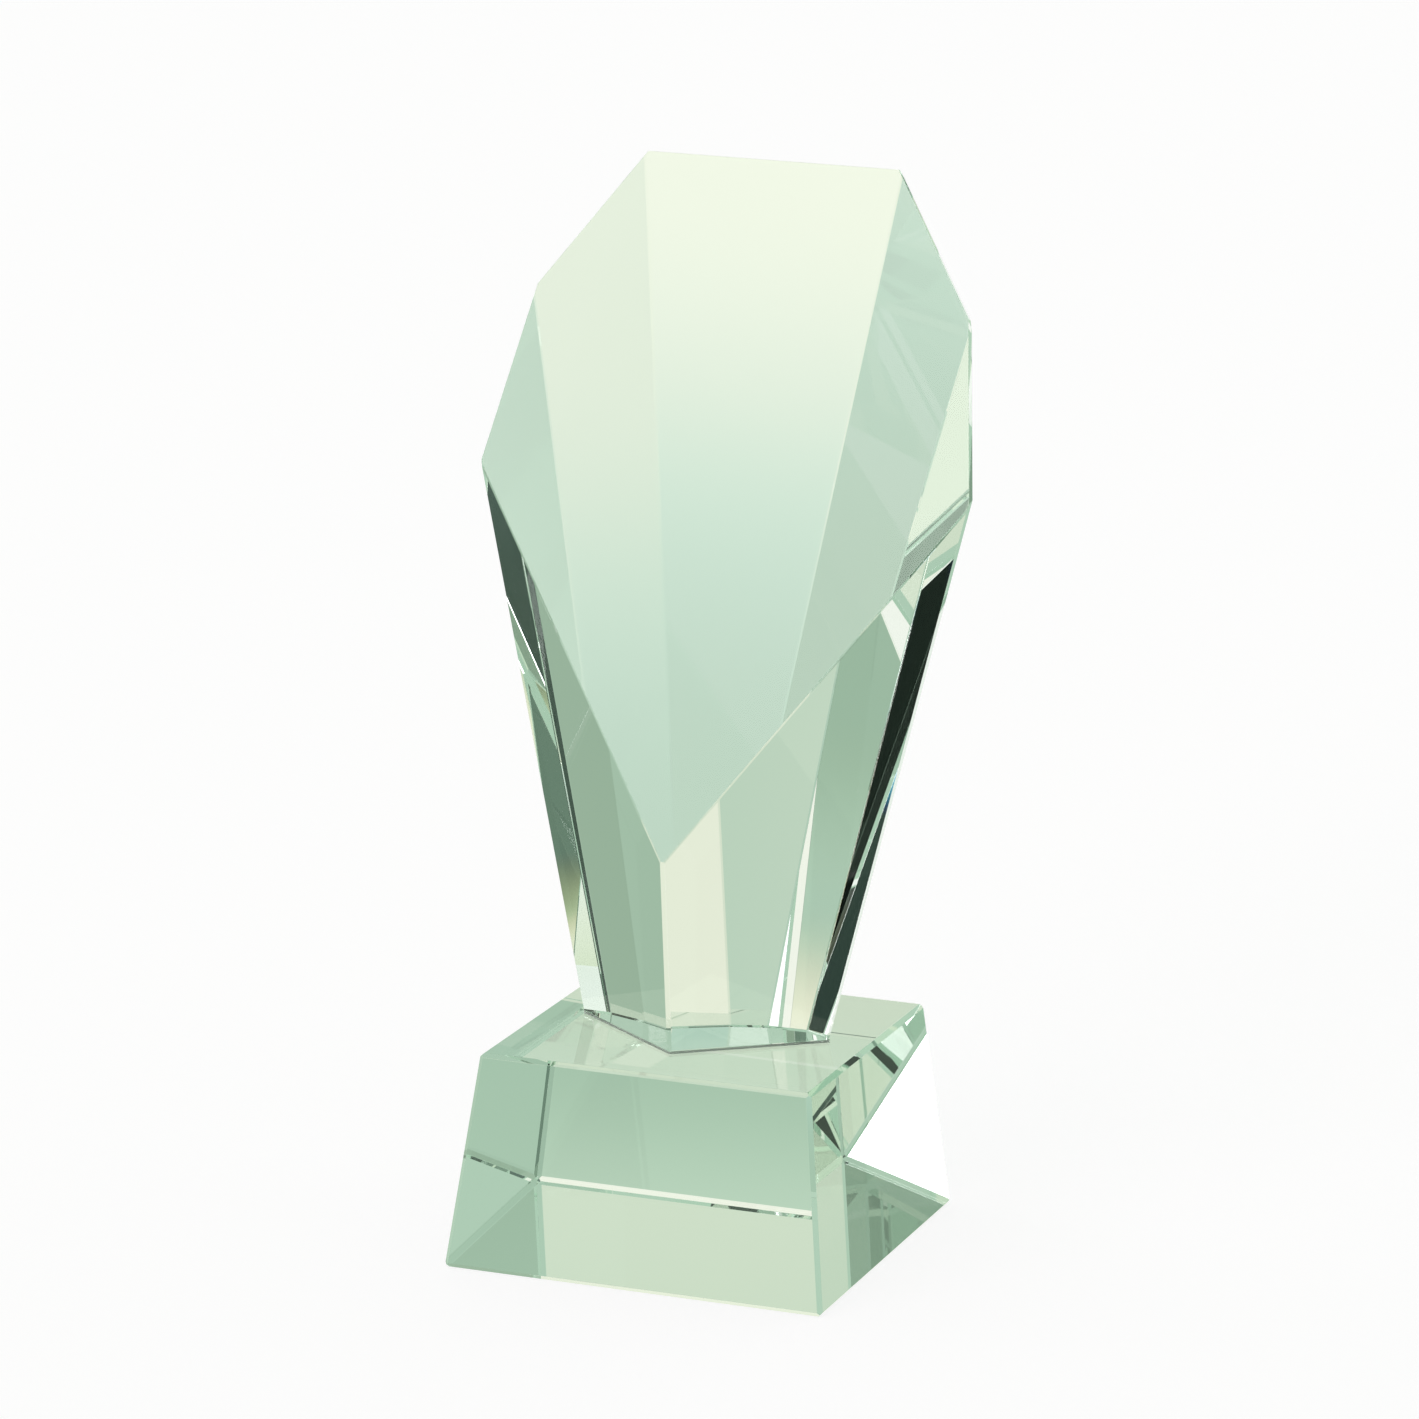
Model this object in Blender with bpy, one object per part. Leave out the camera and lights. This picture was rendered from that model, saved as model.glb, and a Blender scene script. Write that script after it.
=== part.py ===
"""Crystal award: a seven-sided column of optical glass that flares upwards, glued to a tapered glass block.

Run it with blender --background --python part.py, or from Blender's text editor.
Units are metres and +Z is up. The award faces -Y, and the origin is the centre of its underside.
Both glass pieces are cut the way a glass cutter grinds them: flat facets first, then the sharp edges
are ground off to narrow flat lands.
"""

import math

import bmesh
import bpy
from mathutils import Vector

MM = 0.001

# Base block: a four-sided block that stands on its larger face.
BASE_FOOT_SIDE = 88.0 * MM
BASE_TOP_SIDE = 76.5 * MM
BASE_HEIGHT = 48.0 * MM
BASE_LAND = 1.35 * MM

# Glue line: a thin clear film, a little smaller than the column's foot, with a fine gap on both sides.
GLUE_GAP = 0.2 * MM
GLUE_THICKNESS = 0.2 * MM
GLUE_INSET = 0.5 * MM

# Column walls on the right-hand side, from front to back. Each is the direction the wall faces
# (degrees from +X towards +Y), its lean outwards (degrees), and its distance from the axis at the foot.
RIGHT_WALLS = {
    "front_right": (-52.0, 6.4, 17.92 * MM),
    "side_right": (46.0, 10.6, 20.95 * MM),
    "rear_right": (68.0, 7.4, 17.98 * MM),
}
BACK_WALL = (90.0, 4.9, 17.44 * MM)
COLUMN_FOOT_Z = BASE_HEIGHT + 2.0 * GLUE_GAP + GLUE_THICKNESS

# The large slanted face that cuts the column's front and top.
SLANT_LEAN = 23.2
SLANT_DISTANCE = 43.78 * MM

# Widths of the ground lands along the column's edges, for the right-hand side and the middle.
COLUMN_LANDS = {
    ("front_right", "front_left"): 1.1 * MM,
    ("front_right", "side_right"): 2.0 * MM,
    ("side_right", "rear_right"): 0.5 * MM,
    ("rear_right", "back"): 0.5 * MM,
    ("slant", "front_right"): 0.4 * MM,
    ("slant", "side_right"): 1.2 * MM,
    ("slant", "rear_right"): 0.8 * MM,
    ("slant", "back"): 0.45 * MM,
    ("foot", "front_right"): 0.4 * MM,
    ("foot", "side_right"): 0.4 * MM,
    ("foot", "rear_right"): 0.4 * MM,
    ("foot", "back"): 0.4 * MM,
}

# The rough block that each piece is cut from.
ROUGH_SIZE = 0.6
ON_PLANE = 1e-7

GLASS_COLOUR = (0.90, 0.96, 0.92, 1.0)
GLASS_ROUGHNESS = 0.02
GLASS_INDEX = 1.52
GLUE_COLOUR = (0.93, 0.95, 0.94, 1.0)
GLUE_ROUGHNESS = 0.08
GLUE_INDEX = 1.47


def clear_scene():
    for old in list(bpy.data.objects):
        bpy.data.objects.remove(old, do_unlink=True)


def clear_material(name, colour, roughness, index):
    material = bpy.data.materials.new(name)
    material.use_nodes = True
    shader = material.node_tree.nodes["Principled BSDF"]
    shader.inputs["Base Color"].default_value = colour
    shader.inputs["Roughness"].default_value = roughness
    shader.inputs["Metallic"].default_value = 0.0
    shader.inputs["IOR"].default_value = index
    shader.inputs["Transmission Weight"].default_value = 1.0
    material.diffuse_color = colour
    return material


def wall_plane(facing, lean, foot_distance, foot_z):
    """Outward normal and distance from the origin of a wall that leans out as it rises from foot_z."""
    turn = math.radians(facing)
    tilt = math.radians(lean)
    normal = Vector((math.cos(turn) * math.cos(tilt), math.sin(turn) * math.cos(tilt), -math.sin(tilt)))
    distance = foot_distance * math.cos(tilt) - foot_z * math.sin(tilt)
    return normal, distance


def mirrored(name):
    return name.replace("right", "left")


def land_plane(face_a, face_b, width):
    """The flat land that replaces the edge between two faces, equally inclined to both."""
    normal_a, distance_a = face_a
    normal_b, distance_b = face_b
    bisector = normal_a + normal_b
    half_angle = 0.5 * (math.pi - normal_a.angle(normal_b))
    depth = width / (2.0 * math.tan(half_angle))
    edge_distance = (distance_a + distance_b) / bisector.length
    return bisector.normalized(), edge_distance - depth


def cut_from_block(name, planes, material, collection):
    """Cut a rough block flat at each plane in turn and keep what lies behind all of them."""
    bm = bmesh.new()
    bmesh.ops.create_cube(bm, size=ROUGH_SIZE)
    for normal, distance in planes:
        cut = bmesh.ops.bisect_plane(
            bm,
            geom=bm.verts[:] + bm.edges[:] + bm.faces[:],
            dist=ON_PLANE,
            plane_co=normal * distance,
            plane_no=normal,
            clear_outer=True,
        )
        rim = [item for item in cut["geom_cut"] if isinstance(item, bmesh.types.BMEdge)]
        bmesh.ops.edgeloop_fill(bm, edges=rim)
    bmesh.ops.recalc_face_normals(bm, faces=bm.faces[:])
    mesh = bpy.data.meshes.new(name)
    bm.to_mesh(mesh)
    bm.free()
    mesh.materials.append(material)
    piece = bpy.data.objects.new(name, mesh)
    collection.objects.link(piece)
    return piece


def base_planes():
    lean = -math.degrees(math.atan2(0.5 * (BASE_FOOT_SIDE - BASE_TOP_SIDE), BASE_HEIGHT))
    walls = [wall_plane(facing, lean, 0.5 * BASE_FOOT_SIDE, 0.0) for facing in (-90.0, 0.0, 90.0, 180.0)]
    underside = (Vector((0.0, 0.0, -1.0)), 0.0)
    top = (Vector((0.0, 0.0, 1.0)), BASE_HEIGHT)
    lands = []
    for index, wall in enumerate(walls):
        lands.append(land_plane(wall, walls[index - 1], BASE_LAND))
        lands.append(land_plane(wall, underside, BASE_LAND))
        lands.append(land_plane(wall, top, BASE_LAND))
    return [underside, top] + walls + lands


def column_faces():
    faces = {"back": wall_plane(*BACK_WALL, COLUMN_FOOT_Z)}
    for name, (facing, lean, foot_distance) in RIGHT_WALLS.items():
        faces[name] = wall_plane(facing, lean, foot_distance, COLUMN_FOOT_Z)
        faces[mirrored(name)] = wall_plane(180.0 - facing, lean, foot_distance, COLUMN_FOOT_Z)
    slant = math.radians(SLANT_LEAN)
    slant_normal = Vector((0.0, -math.cos(slant), math.sin(slant)))
    faces["slant"] = (slant_normal, SLANT_DISTANCE + COLUMN_FOOT_Z * math.sin(slant))
    faces["foot"] = (Vector((0.0, 0.0, -1.0)), -COLUMN_FOOT_Z)
    return faces


def column_planes():
    faces = column_faces()
    lands = []
    for (name_a, name_b), width in COLUMN_LANDS.items():
        pairs = {(name_a, name_b), (mirrored(name_a), mirrored(name_b))}
        if name_b == mirrored(name_a):
            pairs = {(name_a, name_b)}
        for pair in sorted(pairs):
            lands.append(land_plane(faces[pair[0]], faces[pair[1]], width))
    return list(faces.values()) + lands


def glue_planes():
    bottom_z = BASE_HEIGHT + GLUE_GAP
    planes = [
        (Vector((0.0, 0.0, -1.0)), -bottom_z),
        (Vector((0.0, 0.0, 1.0)), bottom_z + GLUE_THICKNESS),
    ]
    for facing, _, foot_distance in list(RIGHT_WALLS.values()) + [BACK_WALL]:
        for direction in sorted({facing, 180.0 - facing}):
            planes.append(wall_plane(direction, 0.0, foot_distance - GLUE_INSET, bottom_z))
    return planes


clear_scene()
award = bpy.data.collections.new("crystal_award")
bpy.context.scene.collection.children.link(award)
glass = clear_material("optical_glass", GLASS_COLOUR, GLASS_ROUGHNESS, GLASS_INDEX)
glue = clear_material("clear_adhesive", GLUE_COLOUR, GLUE_ROUGHNESS, GLUE_INDEX)
cut_from_block("base_block", base_planes(), glass, award)
cut_from_block("adhesive_film", glue_planes(), glue, award)
cut_from_block("crystal_column", column_planes(), glass, award)
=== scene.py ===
"""Looks of the crystal award: polished optical glass on a pale studio floor."""

import math

import bmesh
import bpy
from mathutils import Matrix, Vector


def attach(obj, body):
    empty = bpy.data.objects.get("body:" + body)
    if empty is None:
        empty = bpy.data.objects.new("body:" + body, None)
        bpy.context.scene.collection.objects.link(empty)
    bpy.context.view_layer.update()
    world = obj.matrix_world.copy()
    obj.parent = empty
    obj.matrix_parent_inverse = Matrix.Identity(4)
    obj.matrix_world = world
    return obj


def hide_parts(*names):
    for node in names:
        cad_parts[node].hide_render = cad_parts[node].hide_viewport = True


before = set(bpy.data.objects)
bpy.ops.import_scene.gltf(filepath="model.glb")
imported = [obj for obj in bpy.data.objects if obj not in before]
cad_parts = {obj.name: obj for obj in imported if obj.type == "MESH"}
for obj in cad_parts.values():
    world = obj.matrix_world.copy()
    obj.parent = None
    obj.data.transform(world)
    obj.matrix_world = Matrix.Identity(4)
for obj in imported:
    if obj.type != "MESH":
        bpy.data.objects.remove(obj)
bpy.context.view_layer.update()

MM = 0.001
WHITE = (1.0, 1.0, 1.0, 1.0)

# Camera: it looks down on the award from its right front.
CAMERA_TURN = math.radians(20.18)
CAMERA_DROP = math.radians(13.66)
CAMERA_ROLL = math.radians(1.03)
# Focal length and sensor width in millimetres, as the camera takes them.
CAMERA_LENS = 172.61
SENSOR_WIDTH = 36.0
# The award's origin in camera axes: to the right, up, and ahead.
AWARD_IN_VIEW = Vector((-1.828, -117.090, 1516.76)) * MM
# How near and how far the camera sees, in metres.
NEAREST_SEEN = 0.01
FARTHEST_SEEN = 50.0

# Camera axes in the world: to the right, up, and ahead.
ahead = Vector((
    -math.sin(CAMERA_TURN) * math.cos(CAMERA_DROP),
    math.cos(CAMERA_TURN) * math.cos(CAMERA_DROP),
    -math.sin(CAMERA_DROP),
))
level_right = Vector((math.cos(CAMERA_TURN), math.sin(CAMERA_TURN), 0.0))
level_up = level_right.cross(ahead)
right = level_right * math.cos(CAMERA_ROLL) + level_up * math.sin(CAMERA_ROLL)
up = level_up * math.cos(CAMERA_ROLL) - level_right * math.sin(CAMERA_ROLL)
axes = Matrix((right, up, ahead)).transposed()
camera_data = bpy.data.cameras.new("camera")
camera_data.lens = CAMERA_LENS
camera_data.sensor_width = SENSOR_WIDTH
camera_data.clip_start = NEAREST_SEEN
camera_data.clip_end = FARTHEST_SEEN
camera = bpy.data.objects.new("camera", camera_data)
bpy.context.scene.collection.objects.link(camera)
rotation = Matrix((right, up, -ahead)).transposed().to_4x4()
camera.matrix_world = Matrix.Translation(-(axes @ AWARD_IN_VIEW)) @ rotation
bpy.context.scene.camera = camera


# Sizes of the cut pieces, the same as the CAD. A wall is the direction it faces (degrees from +X
# towards +Y), its lean outwards (degrees), and its distance from the axis at the column's foot.
BASE_FOOT_SIDE = 88.0 * MM
BASE_TOP_SIDE = 76.5 * MM
BASE_HEIGHT = 48.0 * MM
BASE_LAND = 1.35 * MM
GLUE_GAP = 0.2 * MM
GLUE_THICKNESS = 0.2 * MM
COLUMN_FOOT_Z = BASE_HEIGHT + 2.0 * GLUE_GAP + GLUE_THICKNESS
RIGHT_WALLS = {
    "front_right": (-52.0, 6.4, 17.92 * MM),
    "side_right": (46.0, 10.6, 20.95 * MM),
    "rear_right": (68.0, 7.4, 17.98 * MM),
}
BACK_WALL = (90.0, 4.9, 17.44 * MM)
# The large slanted face that cuts the column's front and top.
SLANT_LEAN = 23.2
SLANT_DISTANCE = 43.78 * MM
# Widths of the ground lands along the column's edges, for the right-hand side and the middle.
COLUMN_LANDS = {
    ("front_right", "front_left"): 1.1 * MM,
    ("front_right", "side_right"): 2.0 * MM,
    ("side_right", "rear_right"): 0.5 * MM,
    ("rear_right", "back"): 0.5 * MM,
    ("slant", "front_right"): 0.4 * MM,
    ("slant", "side_right"): 1.2 * MM,
    ("slant", "rear_right"): 0.8 * MM,
    ("slant", "back"): 0.45 * MM,
    ("foot", "front_right"): 0.4 * MM,
    ("foot", "side_right"): 0.4 * MM,
    ("foot", "rear_right"): 0.4 * MM,
    ("foot", "back"): 0.4 * MM,
}
# Polishing rounds the arrises between flats by this much.
ARRIS = 0.05 * MM
ARRIS_SEGMENTS = 2
ROUND_PROFILE = 0.5
# The rough block that each piece is cut from.
ROUGH_SIZE = 0.6
ON_PLANE = 1e-7

# The cured glue's hollow edge: its inset from the foot's outline at each share of its height.
GLUE_EDGE = (
    (0.0, 0.30 * MM),
    (0.2, 0.46 * MM),
    (0.5, 0.52 * MM),
    (0.8, 0.46 * MM),
    (1.0, 0.30 * MM),
)
# The film stops this far from the glass above and below it.
GLUE_CLEARANCE = 0.02 * MM


def wall_plane(facing, lean, foot_distance, foot_z):
    """Outward normal and distance from the origin of a wall that leans out as it rises from foot_z."""
    turn = math.radians(facing)
    tilt = math.radians(lean)
    normal = Vector((math.cos(turn) * math.cos(tilt), math.sin(turn) * math.cos(tilt), -math.sin(tilt)))
    return normal, foot_distance * math.cos(tilt) - foot_z * math.sin(tilt)


def mirrored(name):
    return name.replace("right", "left")


def land_plane(face_a, face_b, width):
    """The flat land that replaces the edge between two faces, equally inclined to both."""
    normal_a, distance_a = face_a
    normal_b, distance_b = face_b
    bisector = normal_a + normal_b
    half_angle = 0.5 * (math.pi - normal_a.angle(normal_b))
    depth = width / (2.0 * math.tan(half_angle))
    return bisector.normalized(), (distance_a + distance_b) / bisector.length - depth


def base_planes():
    lean = -math.degrees(math.atan2(0.5 * (BASE_FOOT_SIDE - BASE_TOP_SIDE), BASE_HEIGHT))
    walls = [wall_plane(facing, lean, 0.5 * BASE_FOOT_SIDE, 0.0) for facing in (-90.0, 0.0, 90.0, 180.0)]
    underside = (Vector((0.0, 0.0, -1.0)), 0.0)
    top = (Vector((0.0, 0.0, 1.0)), BASE_HEIGHT)
    lands = []
    for index, wall in enumerate(walls):
        for other in (walls[index - 1], underside, top):
            lands.append(land_plane(wall, other, BASE_LAND))
    return [underside, top] + walls + lands


def column_planes():
    slant = math.radians(SLANT_LEAN)
    faces = {
        "back": wall_plane(*BACK_WALL, COLUMN_FOOT_Z),
        "slant": (
            Vector((0.0, -math.cos(slant), math.sin(slant))),
            SLANT_DISTANCE + COLUMN_FOOT_Z * math.sin(slant),
        ),
        "foot": (Vector((0.0, 0.0, -1.0)), -COLUMN_FOOT_Z),
    }
    for name, (facing, lean, foot_distance) in RIGHT_WALLS.items():
        faces[name] = wall_plane(facing, lean, foot_distance, COLUMN_FOOT_Z)
        faces[mirrored(name)] = wall_plane(180.0 - facing, lean, foot_distance, COLUMN_FOOT_Z)
    lands = []
    for (name_a, name_b), width in COLUMN_LANDS.items():
        pairs = {(name_a, name_b), (mirrored(name_a), mirrored(name_b))}
        if name_b == mirrored(name_a):
            pairs = {(name_a, name_b)}
        for first, second in sorted(pairs):
            lands.append(land_plane(faces[first], faces[second], width))
    return list(faces.values()) + lands


def piece(name, bm, material):
    """Make a bmesh into the visible piece that stands for the CAD node of this name."""
    bmesh.ops.recalc_face_normals(bm, faces=bm.faces[:])
    mesh = bpy.data.meshes.new(name + "_look")
    bm.to_mesh(mesh)
    bm.free()
    mesh.materials.append(material)
    made = bpy.data.objects.new(name + "_look", mesh)
    bpy.context.scene.collection.objects.link(made)
    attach(made, "root")
    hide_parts(name)
    return made


def cut_glass(name, planes, material):
    """Cut a rough block flat at each plane, then round the arrises."""
    bm = bmesh.new()
    bmesh.ops.create_cube(bm, size=ROUGH_SIZE)
    for normal, distance in planes:
        cut = bmesh.ops.bisect_plane(
            bm,
            geom=bm.verts[:] + bm.edges[:] + bm.faces[:],
            dist=ON_PLANE,
            plane_co=normal * distance,
            plane_no=normal,
            clear_outer=True,
        )
        rim = [item for item in cut["geom_cut"] if isinstance(item, bmesh.types.BMEdge)]
        bmesh.ops.edgeloop_fill(bm, edges=rim)
    bmesh.ops.recalc_face_normals(bm, faces=bm.faces[:])
    bmesh.ops.bevel(
        bm,
        geom=bm.edges[:],
        offset=ARRIS,
        offset_type="WIDTH",
        segments=ARRIS_SEGMENTS,
        profile=ROUND_PROFILE,
        affect="EDGES",
        clamp_overlap=True,
    )
    return piece(name, bm, material)


def outline_corner(wall_a, wall_b, inset):
    """Where two upright walls meet in plan once both are moved in by inset."""
    (angle_a, distance_a), (angle_b, distance_b) = wall_a, wall_b
    reach_a = distance_a - inset
    reach_b = distance_b - inset
    cross = math.sin(angle_b - angle_a)
    x = (reach_a * math.sin(angle_b) - reach_b * math.sin(angle_a)) / cross
    y = (reach_b * math.cos(angle_a) - reach_a * math.cos(angle_b)) / cross
    return x, y


def glue_film(material):
    """The film under the column, with a hollow edge all the way round."""
    walls = []
    for facing, _, distance in list(RIGHT_WALLS.values()) + [BACK_WALL]:
        for direction in sorted({facing, 180.0 - facing}):
            walls.append((math.radians(direction % 360.0), distance))
    walls.sort()
    bottom = BASE_HEIGHT + GLUE_CLEARANCE
    rise = COLUMN_FOOT_Z - BASE_HEIGHT - 2.0 * GLUE_CLEARANCE
    bm = bmesh.new()
    rings = []
    for share, inset in GLUE_EDGE:
        ring = []
        for index, wall in enumerate(walls):
            x, y = outline_corner(wall, walls[(index + 1) % len(walls)], inset)
            ring.append(bm.verts.new((x, y, bottom + share * rise)))
        rings.append(ring)
    for lower, upper in zip(rings, rings[1:]):
        for index in range(len(walls)):
            after = (index + 1) % len(walls)
            bm.faces.new((lower[index], lower[after], upper[after], upper[index]))
    bm.faces.new(reversed(rings[0]))
    bm.faces.new(rings[-1])
    return piece("adhesive_film", bm, material)


# Smears in the polish: their size, and the noise levels where they start and are at full strength.
SMEAR_SIZE = 14.0 * MM
SMEAR_DETAIL = 3.0
SMEAR_START = 0.45
SMEAR_FULL = 0.75
# The faint green of thick glass, as light absorbed on its way through.
ABSORPTION_COLOUR = (0.75, 0.95, 0.82, 1.0)
ABSORPTION_DENSITY = 2.0
CRYSTAL_INDEX = 1.52
CRYSTAL_HAZE = 0.02
CRYSTAL_WAVE_SIZE = 18.0 * MM
CRYSTAL_WAVE_HEIGHT = 0.004 * MM
GLUE_INDEX = 1.5
GLUE_HAZE = 0.06
GLUE_WAVE_SIZE = 3.0 * MM
GLUE_WAVE_HEIGHT = 0.006 * MM
# Cured glue is a little milky, so it lets through only this share of the light.
GLUE_CLARITY = 0.6
FULLY_CLEAR = 1.0


def clear_material(name, index, haze, wave_size, wave_height, clarity):
    """Clear glass or glue: faint smears in its polish and a slow waviness from hand lapping."""
    material = bpy.data.materials.new(name)
    material.use_nodes = True
    nodes = material.node_tree.nodes
    links = material.node_tree.links
    shader = nodes["Principled BSDF"]
    shader.inputs["Base Color"].default_value = WHITE
    shader.inputs["IOR"].default_value = index
    shader.inputs["Transmission Weight"].default_value = clarity
    place = nodes.new("ShaderNodeTexCoord").outputs["Object"]
    smear = nodes.new("ShaderNodeTexNoise")
    smear.inputs["Scale"].default_value = 1.0 / SMEAR_SIZE
    smear.inputs["Detail"].default_value = SMEAR_DETAIL
    links.new(place, smear.inputs["Vector"])
    polish = nodes.new("ShaderNodeMapRange")
    polish.inputs["From Min"].default_value = SMEAR_START
    polish.inputs["From Max"].default_value = SMEAR_FULL
    polish.inputs["To Min"].default_value = 0.0
    polish.inputs["To Max"].default_value = haze
    links.new(smear.outputs["Fac"], polish.inputs["Value"])
    links.new(polish.outputs["Result"], shader.inputs["Roughness"])
    wave = nodes.new("ShaderNodeTexNoise")
    wave.inputs["Scale"].default_value = 1.0 / wave_size
    wave.inputs["Detail"].default_value = 0.0
    links.new(place, wave.inputs["Vector"])
    bump = nodes.new("ShaderNodeBump")
    bump.inputs["Distance"].default_value = wave_height
    links.new(wave.outputs["Fac"], bump.inputs["Height"])
    links.new(bump.outputs["Normal"], shader.inputs["Normal"])
    volume = nodes.new("ShaderNodeVolumeAbsorption")
    volume.inputs["Color"].default_value = ABSORPTION_COLOUR
    volume.inputs["Density"].default_value = ABSORPTION_DENSITY
    links.new(volume.outputs["Volume"], nodes["Material Output"].inputs["Volume"])
    return material


crystal = clear_material(
    "optical_crystal", CRYSTAL_INDEX, CRYSTAL_HAZE, CRYSTAL_WAVE_SIZE, CRYSTAL_WAVE_HEIGHT, FULLY_CLEAR
)
glue = clear_material(
    "cured_adhesive", GLUE_INDEX, GLUE_HAZE, GLUE_WAVE_SIZE, GLUE_WAVE_HEIGHT, GLUE_CLARITY
)
cut_glass("base_block", base_planes(), crystal)
glue_film(glue)
cut_glass("crystal_column", column_planes(), crystal)

# Studio lights and dark cards that the glass shows, painted in this order round the award.
# Each has the middle, half width and edge softness of its direction round the award, in degrees:
# 0 is to the left as seen from the front, 90 is straight behind, and -90 is straight in front.
# The next three say the same about its height above the horizon, in degrees. The last is its level,
# where 1 is white, and a light can be brighter than white.
STUDIO_BASE = 0.62
STUDIO_CARDS = (
    # name, turn, half turn, soft turn, height, half height, soft height, level
    ("back_right_dim", 115.0, 20.0, 15.0, -2.0, 16.0, 10.0, 0.45),
    ("back_pool", 70.0, 15.0, 35.0, -3.0, 18.0, 35.0, 1.0),
    ("back_foot", 80.0, 60.0, 20.0, -27.0, 5.0, 5.0, 0.55),
    ("back_floor", 66.0, 25.0, 8.0, -29.5, 3.75, 1.6, 0.67),
    ("back_left_floor", 37.0, 5.0, 3.0, -24.0, 4.0, 2.0, 0.82),
    ("back_strip", 70.0, 10.0, 4.0, -16.3, 1.7, 0.8, 0.76),
    ("back_left_dim", 48.0, 7.0, 6.0, -21.0, 4.0, 6.0, 0.50),
    ("back_sill", 70.0, 14.0, 8.0, 14.5, 2.3, 1.2, 0.50),
    ("floor_near", 0.0, 400.0, 1.0, -52.0, 16.0, 12.0, 0.78),
    ("left_floor", 8.0, 16.0, 10.0, -12.0, 8.0, 4.0, 0.78),
    ("far_right_light", 136.0, 10.0, 4.0, 15.0, 6.0, 3.0, 1.0),
    ("left_upper", 3.0, 12.0, 3.0, 32.0, 7.8, 1.0, 1.1),
    ("left_dim", 6.0, 9.0, 6.0, 12.0, 3.0, 1.5, 0.50),
    ("upper_dark", -24.0, 10.0, 4.0, 44.0, 6.0, 3.0, 0.30),
    ("dark_room", -9.3, 8.5, 0.5, 12.5, 8.0, 2.0, 0.0),
    ("dark_door", -34.6, 2.2, 0.5, 14.5, 4.0, 1.0, 0.0),
    ("dark_window", 37.0, 4.0, 1.0, 26.0, 3.0, 1.0, 0.02),
    ("right_upper_dark", -171.0, 13.0, 6.0, 45.0, 15.0, 6.0, 0.20),
    ("right_floor_dark", -149.0, 12.0, 6.0, -26.0, 8.0, 6.0, 0.12),
    ("left_floor_low", 11.0, 8.0, 4.0, -21.5, 3.5, 2.0, 0.40),
    ("front_room", -95.0, 50.0, 10.0, 13.0, 15.0, 6.0, 0.30),
    ("front_right_dark", -122.0, 30.5, 4.0, 28.0, 10.0, 4.0, 0.04),
    ("front_gap", -66.0, 7.0, 1.0, 18.0, 4.6, 0.8, 0.04),
    ("softbox", -68.0, 19.0, 1.0, 29.0, 6.5, 1.0, 3.4),
    ("left_horizon", 2.0, 6.0, 2.0, 4.3, 3.2, 1.2, 0.95),
    ("left_front_light", -29.5, 2.5, 0.5, 11.0, 4.0, 1.0, 0.97),
    ("door_light", -44.0, 3.5, 0.5, 17.5, 3.0, 1.0, 1.0),
    ("front_floor", -68.0, 30.0, 6.0, -25.0, 12.0, 4.0, 1.0),
    ("right_window", -164.3, 6.0, 3.0, 16.4, 5.0, 2.0, 1.2),
    ("softbox_lip", -76.5, 3.2, 0.6, 17.8, 3.0, 0.6, 1.3),
    ("top_light", -89.0, 30.0, 4.0, 59.6, 5.6, 1.0, 0.95),
    ("overhead", 0.0, 400.0, 1.0, 78.0, 12.6, 0.8, 0.18),
)
# How far red and blue are shifted from green at the edge of a light, in degrees.
FRINGE = 0.07
# The cards' tint: at a few levels, how much of it is left in red and in blue. Green is the level itself.
TINTS = (
    # level, red, blue
    (0.0, 0.0, 0.0),
    (0.08, 0.047, 0.063),
    (0.42, 0.295, 0.308),
    (0.64, 0.475, 0.505),
    (0.76, 0.665, 0.61),
    (0.90, 0.865, 0.745),
    (1.0, 1.0, 0.97),
)
RED_CURVE = 0
BLUE_CURVE = 2
# How finely the renderer samples the studio as a light, in map points across.
STUDIO_SAMPLING = 256


def feed(tree, socket, value):
    """Link a socket to another node's output, or set it to a number or a colour."""
    if isinstance(value, bpy.types.NodeSocket):
        tree.links.new(value, socket)
    elif isinstance(value, float) and socket.type == "VECTOR":
        socket.default_value = (value, value, value)
    else:
        socket.default_value = value


def math_node(tree, operation, *values):
    node = tree.nodes.new("ShaderNodeMath")
    node.operation = operation
    for socket, value in zip(node.inputs, values):
        feed(tree, socket, value)
    return node.outputs[0]


def vector_math(tree, operation, *values):
    node = tree.nodes.new("ShaderNodeVectorMath")
    node.operation = operation
    for socket, value in zip(node.inputs, values):
        feed(tree, socket, value)
    return node.outputs["Vector"]


def soft_band(tree, value, middle, half, soft):
    """1 inside the band and 0 outside it, with a soft edge between, for red, green and blue apart."""
    distance = vector_math(tree, "ABSOLUTE", vector_math(tree, "SUBTRACT", value, middle))
    band = tree.nodes.new("ShaderNodeMapRange")
    band.data_type = "FLOAT_VECTOR"
    band.interpolation_type = "SMOOTHSTEP"
    sockets = {socket.identifier: socket for socket in band.inputs}
    feed(tree, sockets["Vector"], distance)
    feed(tree, sockets["From_Min_FLOAT3"], half - 0.5 * soft)
    feed(tree, sockets["From_Max_FLOAT3"], half + 0.5 * soft)
    feed(tree, sockets["To_Min_FLOAT3"], 1.0)
    feed(tree, sockets["To_Max_FLOAT3"], 0.0)
    return band.outputs["Vector"]


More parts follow.
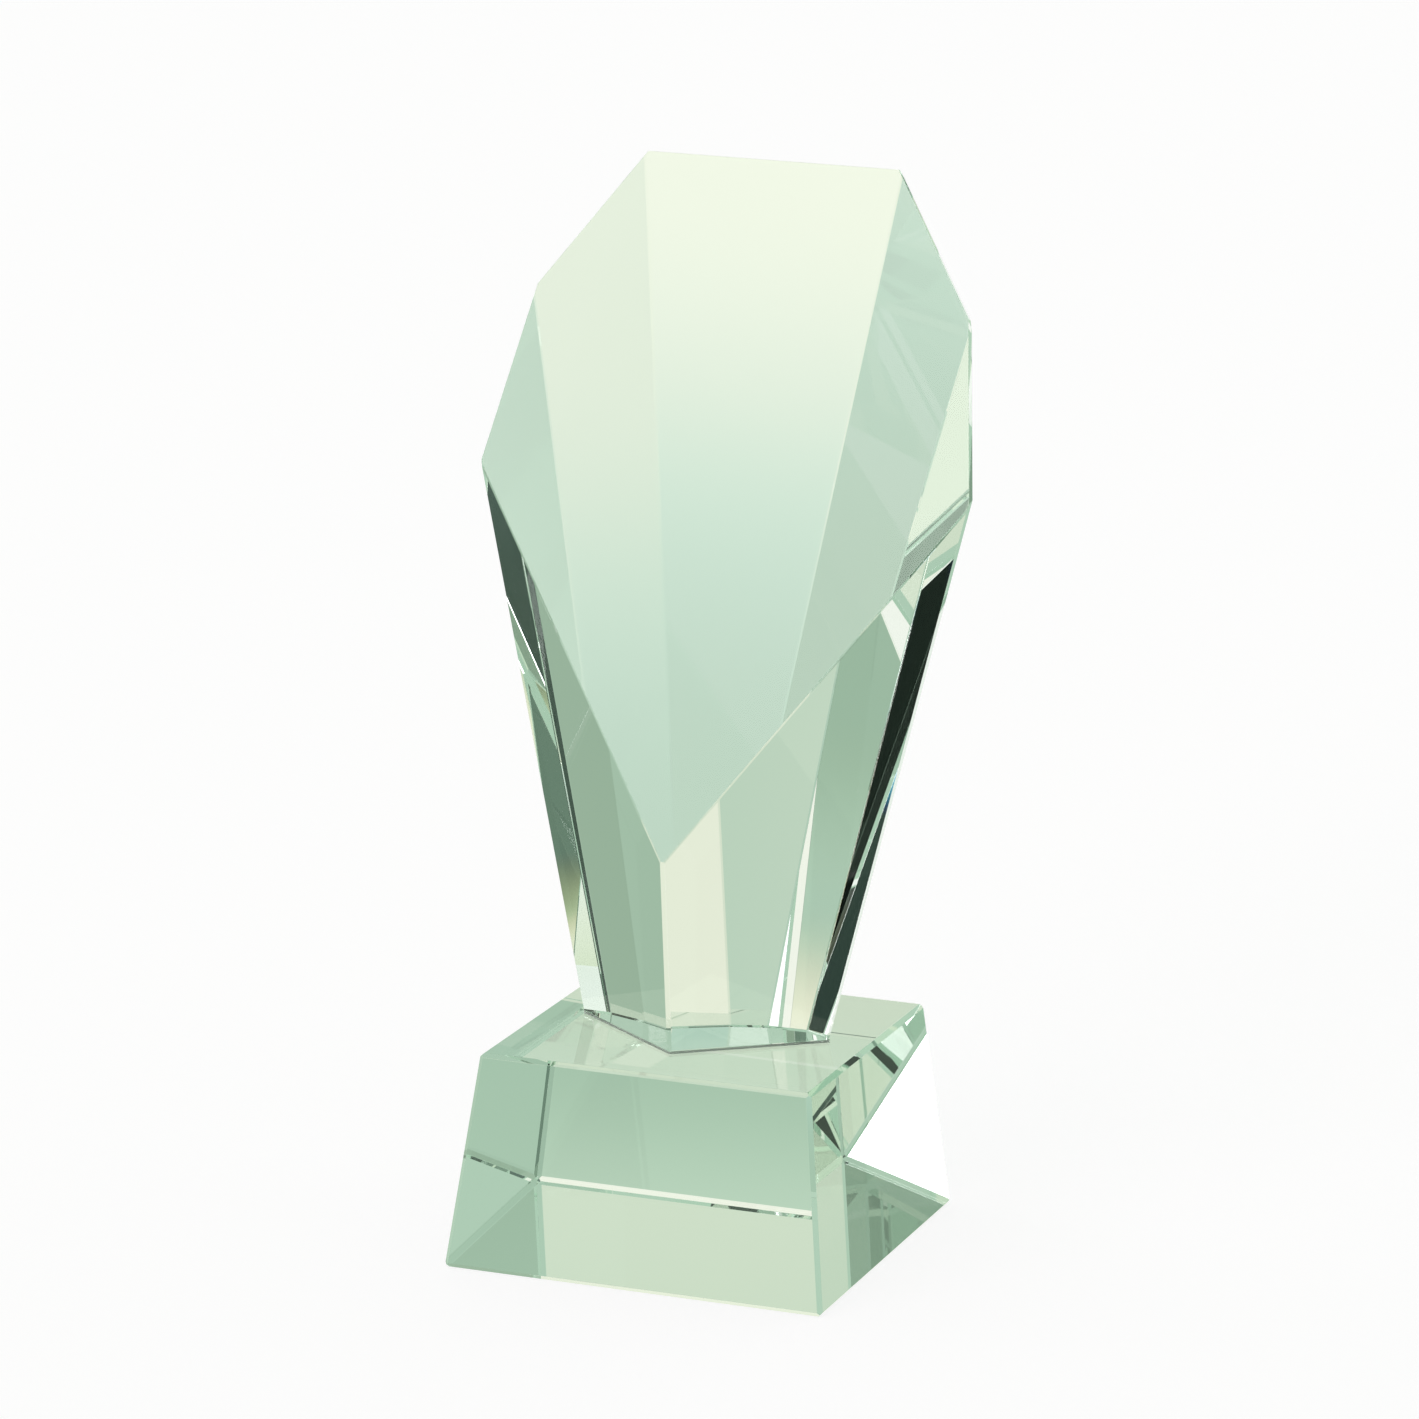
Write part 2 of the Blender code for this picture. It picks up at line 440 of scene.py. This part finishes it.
world = bpy.data.worlds.new("studio")
bpy.context.scene.world = world
world.cycles.sampling_method = "MANUAL"
world.cycles.sample_map_resolution = STUDIO_SAMPLING
world.use_nodes = True
tree = world.node_tree
direction = tree.nodes.new("ShaderNodeTexCoord").outputs["Generated"]
split = tree.nodes.new("ShaderNodeSeparateXYZ")
tree.links.new(direction, split.inputs[0])
x, y, z = split.outputs
leftward = math_node(tree, "MULTIPLY", x, -1.0)
turn = math_node(tree, "DEGREES", math_node(tree, "ARCTAN2", y, leftward))
height = math_node(tree, "DEGREES", math_node(tree, "ARCSINE", z))
spread = (-FRINGE, 0.0, FRINGE)
turns = vector_math(tree, "ADD", turn, spread)
heights = vector_math(tree, "ADD", height, spread)
level = (STUDIO_BASE, STUDIO_BASE, STUDIO_BASE)
for _, middle, half, soft, rise, half_rise, soft_rise, card in STUDIO_CARDS:
    across = soft_band(tree, turns, middle, half, soft)
    upright = soft_band(tree, heights, rise, half_rise, soft_rise)
    mask = vector_math(tree, "MULTIPLY", across, upright)
    change = vector_math(tree, "SUBTRACT", card, level)
    level = vector_math(tree, "MULTIPLY_ADD", mask, change, level)
tint = tree.nodes.new("ShaderNodeRGBCurve")
for channel, column in ((RED_CURVE, 1), (BLUE_CURVE, 2)):
    curve = tint.mapping.curves[channel]
    for row in TINTS[1:-1]:
        curve.points.new(row[0], row[column])
    curve.points[-1].location = (TINTS[-1][0], TINTS[-1][column])
tint.mapping.update()
feed(tree, tint.inputs["Color"], vector_math(tree, "MINIMUM", level, 1.0))
extra = vector_math(tree, "MAXIMUM", vector_math(tree, "SUBTRACT", level, 1.0), 0.0)
# The glass sees the cards, and the camera sees plain white behind the award.
background = tree.nodes["Background"]
feed(tree, background.inputs["Color"], vector_math(tree, "ADD", tint.outputs["Color"], extra))
plain = tree.nodes.new("ShaderNodeBackground")
plain.inputs["Color"].default_value = WHITE
path = tree.nodes.new("ShaderNodeLightPath")
mix = tree.nodes.new("ShaderNodeMixShader")
tree.links.new(path.outputs["Is Camera Ray"], mix.inputs[0])
tree.links.new(background.outputs[0], mix.inputs[1])
tree.links.new(plain.outputs[0], mix.inputs[2])
tree.links.new(mix.outputs[0], tree.nodes["World Output"].inputs["Surface"])

# Floor: a pale paper sheet that glows a little, so it runs into the white behind it. The glass does not
# see it, because what lies below the horizon is painted by the cards.
FLOOR_SIZE = 40.0
FLOOR_DROP = 0.05 * MM
FLOOR_COLOUR = (0.34, 0.27, 0.32, 1.0)
FLOOR_GLOW = 0.83
bpy.ops.mesh.primitive_plane_add(size=FLOOR_SIZE, location=(0.0, 0.0, -FLOOR_DROP))
floor = bpy.context.object
floor.name = "floor"
paper = bpy.data.materials.new("floor_paper")
paper.use_nodes = True
shader = paper.node_tree.nodes["Principled BSDF"]
shader.inputs["Base Color"].default_value = FLOOR_COLOUR
shader.inputs["Roughness"].default_value = 1.0
shader.inputs["Specular IOR Level"].default_value = 0.0
shader.inputs["Emission Color"].default_value = WHITE
shader.inputs["Emission Strength"].default_value = FLOOR_GLOW
floor.data.materials.append(paper)
floor.visible_transmission = False
floor.visible_glossy = False

# Light has to pass through many facets before it leaves the award.
GLASS_BOUNCES = 24
GLOSSY_BOUNCES = 16
scene = bpy.context.scene
scene.view_settings.view_transform = "Standard"
scene.cycles.max_bounces = GLASS_BOUNCES
scene.cycles.transmission_bounces = GLASS_BOUNCES
scene.cycles.glossy_bounces = GLOSSY_BOUNCES
scene.cycles.use_denoising = True
